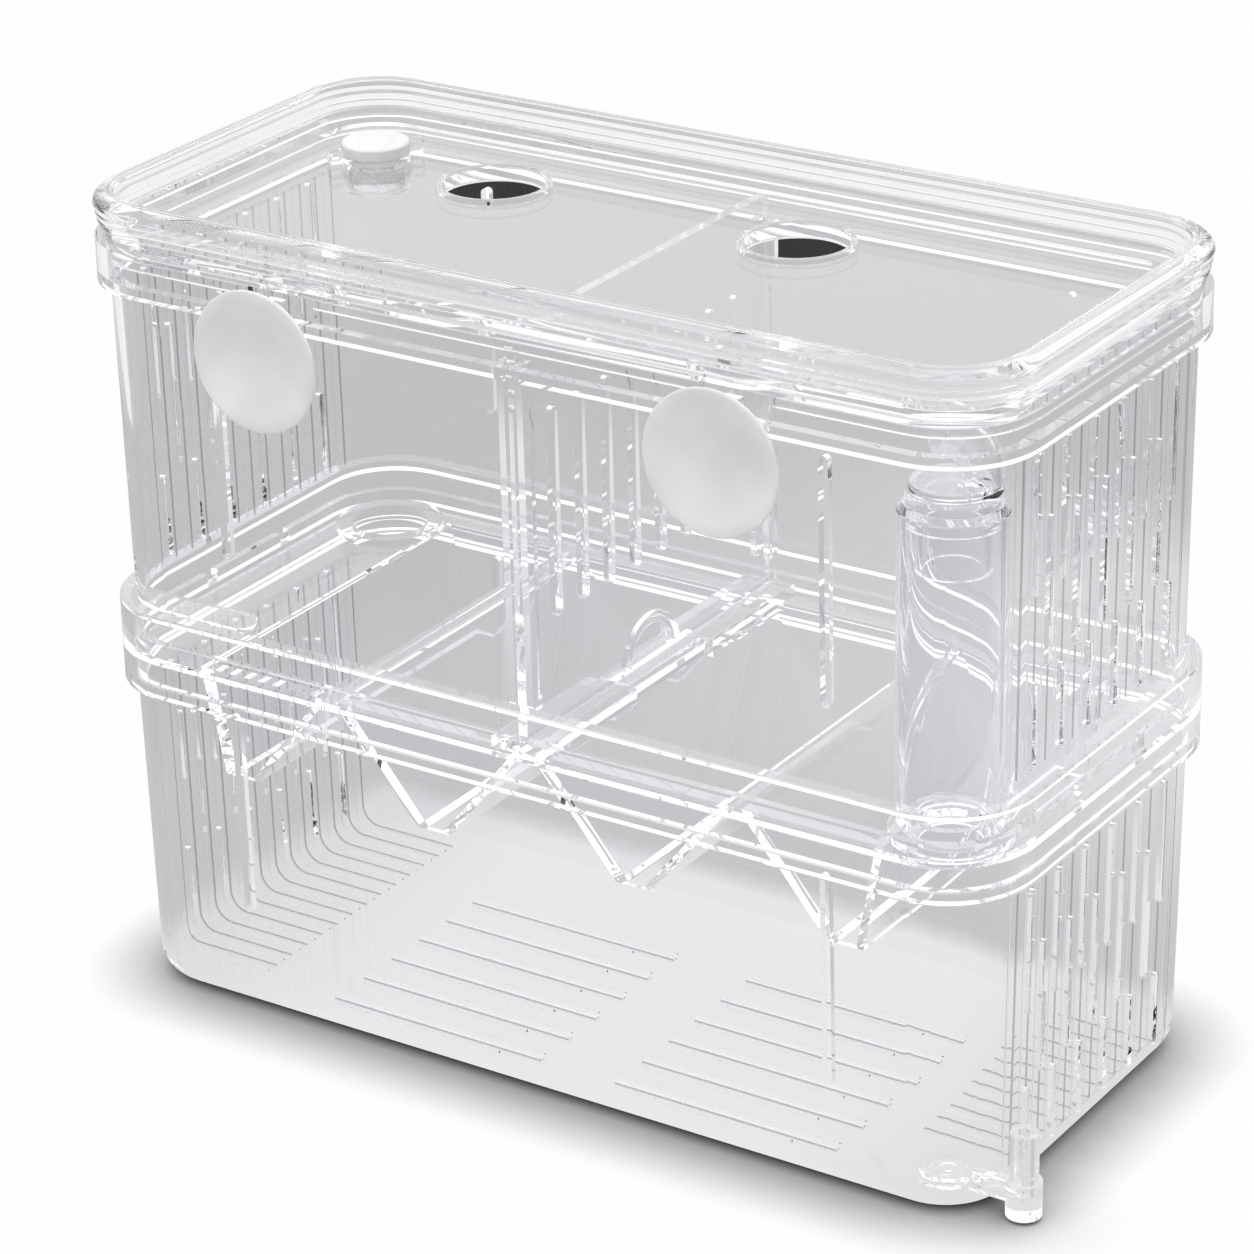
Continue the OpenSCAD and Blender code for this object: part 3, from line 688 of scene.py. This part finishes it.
@dataclass
class Lid(Strands):
    """The lid: a swept rim with a skirt, a sunk panel, two collared holes and a port with lugs."""

    half_x: float = 100.0
    half_y: float = 48.0
    corner: float = 18.0
    steps: int = 18
    notch_x: tuple = (41.6, 56.2)
    panel_inset: float = 6.65
    panel_low: float = 154.2
    panel_high: float = 156.6
    rise: float = 1.0
    holes: tuple = ((-45.0, 17.3), (22.9, 17.3))
    hole_radius: float = 10.1
    port: tuple = (-75.3, 20.6)
    port_radius: float = 6.65
    port_depth: float = 5.0
    collar: float = 1.2
    collar_edge: float = 0.25
    rim_edge: float = 0.14
    lug_size: tuple = (2.6, 3.0, 3.0)
    lug_reach: float = 8.35
    lug_turn: float = 54.0
    lug_rise: float = 1.55
    lug_edge: float = 0.4
    lug_crease: float = 30.0

    def build(self, material: bpy.types.Material, sparkling: bpy.types.Material) -> None:
        """Makes all parts of the lid.

        Args:
            material: Finish of the panel, the collars and the lugs.
            sparkling: Finish of the rim and the skirt.
        """
        self.rim(sparkling)
        self.panel(material)
        self.lugs(material)
        high = self.panel_high + self.rise
        bores = [(spot, self.hole_radius, 0.0) for spot in self.holes]
        bores.append((self.port, self.port_radius - self.collar, self.port_depth))
        for i, (place, radius, depth) in enumerate(bores):
            low, outer = self.panel_low - depth, radius + self.collar - SEAM
            Turned(
                name="lid_collar_" + str(i),
                node="lid",
                body=Body.LID,
                slot=Slot.CLEAR,
                section=((radius, low), (outer, low), (outer, high), (radius, high)),
                place_at=(*place, 0),
                edge=self.collar_edge,
            ).build(material)

    def around(self) -> list:
        """Goes once round the box, from the left end of the front.

        Returns:
            The moves in order, as strand has them.
        """
        run_x, run_y = self.half_x - self.corner, self.half_y - self.corner
        moves = []
        for x, y, along in ((1, -1, (1, 0)), (1, 1, (0, 1)), (-1, 1, (-1, 0)), (-1, -1, (0, -1))):
            moves.append(("run", (2 * run_x * along[0], 2 * run_y * along[1], 0)))
            moves.append(("bend", (x * run_x, y * run_y, 0), (0, 0, 1), 90.0, self.steps))
        return moves

    def outline(self, shape: bmesh.types.BMesh, section: Sequence[tuple], x: float) -> list:
        """Stands a closed section across the front edge.

        Args:
            shape: The bmesh that it is added to.
            section: Its points, as inset and height.
            x: Its place along the edge.

        Returns:
            Its vertices.
        """
        points = [shape.verts.new((x * MM, (inset - self.half_y) * MM, z * MM)) for inset, z in section]
        for pair in zip(points, points[1:] + points[:1]):
            shape.edges.new(pair)
        return points

    def rim(self, material: bpy.types.Material) -> None:
        """Sweeps the rim, and the skirt below it with its two gaps.

        Args:
            material: The finish.
        """
        shape = bmesh.new()
        run_x, run_y = self.half_x - self.corner, self.half_y - self.corner
        self.follow(shape, self.outline(shape, RIM_SECTION, -run_x), self.around(), True)
        near, far = self.notch_x
        middle = [("run", (2 * near, 0, 0))]
        self.follow(shape, self.outline(shape, SKIRT_SECTION, -near), middle, False)
        moves = self.around()
        moves[0] = ("run", (run_x - far, 0, 0))
        moves.append(("run", (run_x - far, 0, 0)))
        self.follow(shape, self.outline(shape, SKIRT_SECTION, far), moves, False)
        rim = self.finish(shape, "lid_rim", Body.LID, material, LID_CREASE)
        self.soften(rim, self.rim_edge, LID_CREASE)
        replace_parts(rim, "lid")

    def panel(self, material: bpy.types.Material) -> None:
        """Fills the panel round its holes.

        Args:
            material: The finish.
        """
        shape = bmesh.new()
        half_x, half_y = self.half_x - self.panel_inset, self.half_y - self.panel_inset
        move = Matrix.Translation((0, 0, self.panel_low * MM))
        size = Matrix.Diagonal((half_x * MM, half_y * MM, 1.0, 1.0))
        bmesh.ops.create_grid(shape, x_segments=1, y_segments=1, size=1.0, matrix=move @ size)
        corner = (self.corner - self.panel_inset) * MM
        bmesh.ops.bevel(
            shape,
            geom=shape.verts[:],
            offset=corner,
            segments=self.steps,
            profile=0.5,
            affect="VERTICES",
            material=-1,
        )
        bmesh.ops.delete(shape, geom=shape.faces[:], context="FACES_ONLY")
        gaps = [(*spot, self.hole_radius + self.collar) for spot in self.holes]
        gaps.append((*self.port, self.port_radius))
        for x, y, radius in gaps:
            place = Matrix.Translation((x * MM, y * MM, self.panel_low * MM))
            bmesh.ops.create_circle(
                shape, cap_ends=False, radius=radius * MM, segments=ROUND_STEPS, matrix=place
            )
        bmesh.ops.triangle_fill(shape, use_beauty=True, edges=shape.edges[:], normal=(0, 0, 1))
        grown = bmesh.ops.extrude_face_region(shape, geom=shape.faces[:], use_keep_orig=True)["geom"]
        verts = [g for g in grown if isinstance(g, bmesh.types.BMVert)]
        thickness = (self.panel_high - self.panel_low) * MM
        bmesh.ops.translate(shape, verts=verts, vec=(0, 0, thickness))
        panel = self.finish(shape, "lid_panel", Body.LID, material, LID_CREASE)
        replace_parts(panel, "lid")

    def lugs(self, material: bpy.types.Material) -> None:
        """Stands the two lugs beside the port.

        Args:
            material: The finish.
        """
        shape = bmesh.new()
        turn = Matrix.Rotation(math.radians(self.lug_turn), 4, "Z")
        place = Matrix.Translation(Vector((*self.port, self.panel_high + self.lug_rise)) * MM)
        size = Matrix.Diagonal((*(length * MM for length in self.lug_size), 1.0))
        for side in (-1, 1):
            shift = Matrix.Translation((side * self.lug_reach * MM, 0, 0))
            bmesh.ops.create_cube(shape, size=1.0, matrix=place @ turn @ shift @ size)
        lugs = self.finish(shape, "lid_lugs", Body.LID, material, LID_CREASE)
        self.soften(lugs, self.lug_edge, self.lug_crease)
        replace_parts(lugs, "lid")


@dataclass
class Turned(Piece):
    """A piece turned about one axis from half of its section."""

    name: str
    node: str
    body: Body
    slot: Slot
    section: Sequence[tuple]
    place_at: tuple
    tip: float = 0.0
    steps: int = ROUND_STEPS
    edge: float = 0.15
    crease: float = 24.0

    def build(self, material: bpy.types.Material) -> bpy.types.Object:
        """Spins the section, closes it and dresses it.

        Args:
            material: The finish.

        Returns:
            The dressed piece.
        """
        turned = bmesh.new()
        points = [turned.verts.new((radius * MM, 0, height * MM)) for radius, height in self.section]
        edges = [turned.edges.new(pair) for pair in zip(points, points[1:] + points[:1])]
        bmesh.ops.spin(
            turned,
            geom=points + edges,
            cent=(0, 0, 0),
            axis=(0, 0, 1),
            angle=math.tau,
            steps=self.steps,
            use_merge=True,
        )
        bmesh.ops.remove_doubles(turned, verts=turned.verts, dist=2 * WELD)
        bmesh.ops.dissolve_degenerate(turned, edges=turned.edges, dist=WELD)
        bmesh.ops.recalc_face_normals(turned, faces=turned.faces)
        turn = Matrix.Rotation(math.radians(self.tip), 4, "X")
        move = Matrix.Translation(Vector(self.place_at) * MM)
        bmesh.ops.transform(turned, matrix=move @ turn, verts=turned.verts)
        mesh = bpy.data.meshes.new(self.name)
        for face in turned.faces:
            face.smooth = True
        turned.to_mesh(mesh)
        turned.free()
        mesh.set_sharp_from_angle(angle=math.radians(self.crease))
        thing = bpy.data.objects.new(self.name, mesh)
        self.place(thing, self.body, self.slot, material, [self.node])
        self.soften(thing, self.edge, self.crease)
        return thing


@dataclass
class TrayHandle(Piece):
    """A small loop on a flat saddle at the middle of the tray's bar."""

    name: str = "tray_handle_loop"
    width: float = 8.0
    length: float = 26.8
    foot_z: float = 74.06
    top_z: float = 75.0
    loop_radius: float = 7.9
    wire: float = 1.7
    loop_z: float = 74.5
    flare: float = 1.5
    flare_swell: float = 0.35
    corner: float = 1.6
    corner_steps: int = 6
    wire_sides: int = 20
    loop_steps: int = 48
    loop_seam: float = 0.06
    edge: float = 0.22
    crease: float = 30.0

    def build(self, material: bpy.types.Material) -> None:
        """Makes the saddle and the loop that stands on it.

        Args:
            material: The finish.
        """
        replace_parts(self.settle(self.saddle(), "tray_saddle", material), "tray_handle")
        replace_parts(self.settle(self.loop(), self.name, material), "tray_handle")

    def saddle(self) -> bmesh.types.BMesh:
        """Makes the flat saddle with its rounded corners.

        Returns:
            The saddle's shape.
        """
        saddle = bmesh.new()
        height = self.top_z - self.foot_z
        size = Matrix.Diagonal((self.width * MM, self.length * MM, height * MM, 1.0))
        move = Matrix.Translation((0, 0, (self.foot_z + height / 2) * MM))
        bmesh.ops.create_cube(saddle, size=1.0, matrix=move @ size)
        least = height * MM / 2
        uprights = [e for e in saddle.edges if abs(e.verts[0].co.z - e.verts[1].co.z) > least]
        bmesh.ops.bevel(
            saddle,
            geom=uprights,
            offset=self.corner * MM,
            segments=self.corner_steps,
            profile=0.5,
            affect="EDGES",
            material=-1,
        )
        return saddle

    def loop(self) -> bmesh.types.BMesh:
        """Bends a wire from one side of the saddle to the other, and flares both feet.

        Returns:
            The loop's shape.
        """
        loop = bmesh.new()
        radius = self.wire / 2 * MM
        bmesh.ops.create_circle(loop, segments=self.wire_sides, radius=radius, cap_ends=False)
        bmesh.ops.translate(loop, vec=(0, self.loop_radius * MM, 0), verts=loop.verts)
        low = math.asin((self.top_z + self.loop_seam - self.loop_z) / self.loop_radius)
        bmesh.ops.rotate(loop, verts=loop.verts, matrix=Matrix.Rotation(low, 3, "X"))
        bmesh.ops.spin(
            loop,
            geom=loop.verts[:] + loop.edges[:],
            cent=(0, 0, 0),
            axis=(1, 0, 0),
            angle=math.pi - 2 * low,
            steps=self.loop_steps,
        )
        bmesh.ops.holes_fill(loop, edges=[e for e in loop.edges if e.is_boundary])
        bmesh.ops.translate(loop, vec=(0, 0, self.loop_z * MM), verts=loop.verts)
        bmesh.ops.recalc_face_normals(loop, faces=loop.faces)
        for vert in loop.verts:
            rise = vert.co.z / MM - self.top_z
            if rise < self.flare:
                swell = 1 + self.flare_swell * (1 - max(rise, 0) / self.flare) ** 2
                side = math.copysign(self.loop_radius * MM, vert.co.y)
                vert.co.x *= swell
                vert.co.y = side + (vert.co.y - side) * swell
        return loop

    def settle(
        self, shape: bmesh.types.BMesh, name: str, material: bpy.types.Material
    ) -> bpy.types.Object:
        """Turns a shape into a smooth object on the tray.

        Args:
            shape: The bmesh, which is used up.
            name: The piece's name.
            material: The finish.

        Returns:
            The dressed piece.
        """
        for face in shape.faces:
            face.smooth = True
        mesh = bpy.data.meshes.new(name)
        shape.to_mesh(mesh)
        shape.free()
        mesh.set_sharp_from_angle(angle=math.radians(self.crease))
        thing = bpy.data.objects.new(name, mesh)
        self.place(thing, Body.TRAY, Slot.CLEAR, material)
        self.soften(thing, self.edge, self.crease)
        return thing


# ---- Studio ----


@dataclass
class Studio:
    """Paper, lamps, surroundings and camera."""

    floor_half: float = 6.0
    lamps: tuple = (
        ("key", (-0.35, -0.5, 1.5), 0.9, 14.0),
        ("fill", (1.2, -0.5, 0.9), 0.9, 4.0),
        ("back", (0.2, 1.1, 1.1), 1.2, 6.0),
    )
    room: float = 0.5
    glow: float = 1.3
    haze: float = 0.8
    haze_top: float = 0.38
    lens_mm: float = 132.88
    sensor_mm: float = 36.0
    clip: tuple = (0.05, 50.0)
    turn: float = 33.534
    tilt: float = 23.97
    roll: float = -1.302
    distance: float = 0.88356
    aim: tuple = (-0.00432, -0.00113)
    pivot_z: float = 0.082

    def build(self) -> None:
        """Makes the whole studio."""
        self.paper()
        self.surroundings()
        for name, place, size, power in self.lamps:
            self.lamp(name, place, size, power)
        self.camera()

    def paper(self) -> None:
        """Lays the floor."""
        sheet = bmesh.new()
        bmesh.ops.create_grid(sheet, x_segments=1, y_segments=1, size=self.floor_half)
        mesh = bpy.data.meshes.new("paper_floor")
        sheet.to_mesh(mesh)
        sheet.free()
        floor = bpy.data.objects.new("paper_floor", mesh)
        bpy.context.scene.collection.objects.link(floor)
        floor.data.materials.append(Paper().build())

    def surroundings(self) -> None:
        """Fills the room with even light."""
        world = bpy.data.worlds.new("room")
        bpy.context.scene.world = world
        world.use_nodes = True
        sheet = Sheet(world.node_tree)
        seen = sheet.node("ShaderNodeLightPath", output="Is Transmission Ray")
        aim = sheet.node("ShaderNodeTexCoord", output="Generated")
        rise = sheet.node("ShaderNodeSeparateXYZ", None, [aim], "Z")
        sky = rise.ramp(0.0, self.haze_top) * (self.glow - self.haze) + self.haze
        power = seen.larger(seen.twin("Is Glossy Ray")) * (sky - self.room) + self.room
        light = sheet.node("ShaderNodeBackground", None, {"Color": (1, 1, 1, 1), "Strength": power})
        sheet.node("ShaderNodeOutputWorld", None, {"Surface": light})

    def lamp(self, name: str, place: Sequence[float], size: float, power: float) -> None:
        """Adds a square soft lamp that faces the box.

        Args:
            name: The lamp's name.
            place: Where it stands, in metres.
            size: Length of its sides.
            power: Its power in watts.
        """
        data = bpy.data.lights.new(name, "AREA")
        data.size = size
        data.energy = power
        data.cycles.use_multiple_importance_sampling = False
        lamp = bpy.data.objects.new(name, data)
        spot = Vector(place)
        facing = (Vector((0, 0, self.pivot_z)) - spot).to_track_quat("-Z", "Y")
        lamp.matrix_world = Matrix.Translation(spot) @ facing.to_matrix().to_4x4()
        bpy.context.scene.collection.objects.link(lamp)

    def camera(self) -> None:
        """Stands the camera at its measured place."""
        turn, tilt, roll = (math.radians(v) for v in (self.turn, self.tilt, self.roll))
        flat = math.cos(tilt)
        back = Vector((math.sin(turn) * flat, -math.cos(turn) * flat, math.sin(tilt)))
        level = Vector((math.cos(turn), math.sin(turn), 0))
        up = back.cross(level)
        right = level * math.cos(roll) + up * math.sin(roll)
        above = up * math.cos(roll) - level * math.sin(roll)
        aside = self.aim[0] * right + self.aim[1] * above
        spot = Vector((0, 0, self.pivot_z)) + aside + self.distance * back
        data = bpy.data.cameras.new("camera")
        data.sensor_width = self.sensor_mm
        data.lens = self.lens_mm
        data.clip_start, data.clip_end = self.clip
        camera = bpy.data.objects.new("camera", data)
        turned = Matrix((right, above, back)).transposed().to_4x4()
        camera.matrix_world = Matrix.Translation(spot) @ turned
        bpy.context.scene.collection.objects.link(camera)
        bpy.context.scene.camera = camera


# Node, body and width of the rounded edge of each piece that keeps its moulding
SHELLS = (
    ("lower_tank", Body.LOWER_TANK, 0.24),
    ("air_nozzle", Body.LOWER_TANK, 0.25),
    ("spawning_tray", Body.TRAY, 0.18),
    ("upper_tank", Body.UPPER_TANK, 0.24),
    ("divider", Body.DIVIDER, 0.2),
    ("riser_tube", Body.RISER, 0.25),
    ("outlet_spout", Body.OUTLET, 0.25),
)
SPARKLING = ("air_nozzle", "outlet_spout")
FLOOR_FIELD = (1.8, 2.7, 89.5, 40.0)
TRAY_FLATTEST = 0.9
# Places of the round pieces, in millimetres
RISER = (84.0, -32.0)
CUPS = (("left", Body.CUP_LEFT, -48.9), ("right", Body.CUP_RIGHT, 48.9))
CUP_FACE_Y = -55.2
CUP_Z = 143.5
PLUG = (-75.3, 20.6)
SOFT_CREASE = 40.0
PLUG_EDGE = 0.2
TURNED_CLEAR = (
    Turned(
        name="air_diffuser_disc",
        node="air_diffuser",
        body=Body.LOWER_TANK,
        slot=Slot.CLEAR,
        section=(
            (0, 1.85), (5.4, 1.85), (5.4, 3.9), (4.9, 4.35), (4.1, 4.35), (3.7, 3.9), (3.4, 3.5),
            (2.7, 3.4), (2.4, 3.75), (2.0, 3.75), (1.7, 3.4), (0.9, 3.35), (0.7, 3.6), (0, 3.65),
        ),
        place_at=(*RISER, 0),
        edge=0.12,
    ),
    Turned(
        name="riser_cap_ring",
        node="riser_cap",
        body=Body.RISER,
        slot=Slot.CLEAR,
        section=(
            (6.8, 132.0), (8.15, 132.0), (8.15, 136.06), (8.5, 136.06), (8.5, 137.4),
            (8.2, 138.0), (7.7, 138.2), (6.8, 138.2),
        ),
        place_at=(*RISER, 0),
        edge=0.15,
    ),
)
# Sections of the lid's edge: inset from the box's side, and height
RIM_SECTION = (
    (1.6, 156.15), (1.2, 158.4), (0.8, 158.7), (0.56, 159.8), (0.86, 160.0), (0.48, 160.2),
    (0.28, 161.2), (0.58, 161.4), (0.2, 161.6), (0, 162.6), (0.3, 163.5), (1.1, 164.3),
    (2.4, 164.8), (3.05, 164.8), (3.25, 164.5), (3.45, 164.8), (4.1, 164.8), (4.2, 162.5),
    (4.6, 162.3), (4.75, 159.4), (5.3, 159.4), (6.6, 156.6), (6.6, 154.2), (2.4, 154.2),
    (2.4, 156.15),
)
SKIRT_SECTION = ((2.4, 154.15), (2.4, 152.2), (4.0, 152.2), (4.0, 154.15))
# Half sections of turned pieces: radius, and height along the axis
CUP_SECTION = (
    (0, 2.6), (2.5, 2.52), (5, 2.1), (7.5, 1.62), (9.5, 1.0), (11.2, 0.4), (12.2, 0.05), (13.2, 0),
    (13.6, 0.08), (13.8, 0.35), (13.7, 0.7), (13.3, 0.95), (11.5, 1.6), (9.5, 2.4), (7.4, 3.2),
    (5.5, 4.2), (4.2, 5.3), (3.4, 6.4), (3.4, 9.45), (1.9, 9.45), (1.9, 11.9),
    (3.2, 11.9), (2.7, 13.7), (0, 13.7),
)
STEM_SECTION = ((0, 149.3), (4.8, 149.3), (5.2, 149.6), (5.4, 150.1), (5.4, 157.64), (0, 157.64))
CAP_SECTION = (
    (0, 157.7), (6.8, 157.7), (6.8, 159.6), (6.6, 160.1), (6.1, 160.3), (4.1, 160.3), (3.8, 160.1),
    (3.0, 159.8), (1.9, 159.5), (0, 159.4),
)


def main() -> None:
    """Builds the box and its studio."""
    logging.basicConfig(level=logging.INFO)
    scene = bpy.context.scene
    scene.view_settings.view_transform = "Standard"
    scene.cycles.max_bounces = LIGHT_BOUNCES
    scene.cycles.transmission_bounces = LIGHT_BOUNCES
    scene.cycles.glossy_bounces = LIGHT_BOUNCES
    scene.cycles.transparent_max_bounces = CLEAR_STEPS
    scene.cycles.caustics_reflective = False
    clear = ClearPlastic("clear_styrene").build()
    soft = FrostedSilicone("milky_silicone").build()
    bright = ClearPlastic("rib_styrene", index=1.5).build()
    white = FrostedSilicone(
        "white_silicone", milk=(0.92, 0.92, 0.915), shade=(0.88, 0.88, 0.88), clarity=0.2
    )
    faint = FrostedSilicone(
        "clear_silicone", milk=(0.97, 0.97, 0.97), clarity=0.93, roughness=0.22
    )
    # A dark-tinted copy of the clear plastic, for painted shade lines beside the bright ribs
    painted_shade = ClearPlastic("painted_shade_styrene", tint=(0.6, 0.6, 0.63), tint_dark=(0.56, 0.56, 0.59))
    for node, body, edge in SHELLS:
        shell = MouldedShell(node, body, Slot.CLEAR, edge=edge)
        if node == "lower_tank":
            shell.level = FLOOR_FIELD
        if node == "spawning_tray":
            shell.flattest = TRAY_FLATTEST
        shell.build(bright if node in SPARKLING else clear)
    TankRibs().build(bright, painted_shade.build())
    Lid().build(clear, bright)
    for turned in TURNED_CLEAR:
        turned.build(clear)
    TrayHandle().build(clear)
    for side, body, x in CUPS:
        Turned(
            name="suction_cup_" + side + "_disc",
            node="suction_cup_" + side,
            body=body,
            slot=Slot.SILICONE,
            section=CUP_SECTION,
            place_at=(x, CUP_FACE_Y, CUP_Z),
            tip=-90.0,
            crease=SOFT_CREASE,
        ).build(soft)
    plug = (("plug_cap", CAP_SECTION, white), ("plug_stem", STEM_SECTION, faint))
    for name, section, finish in plug:
        Turned(
            name=name,
            node="lid_plug",
            body=Body.PLUG,
            slot=Slot.SILICONE,
            section=section,
            place_at=(*PLUG, 0),
            edge=PLUG_EDGE,
            crease=SOFT_CREASE,
        ).build(finish.build())
    Studio().build()


if __name__ == "__main__":
    main()
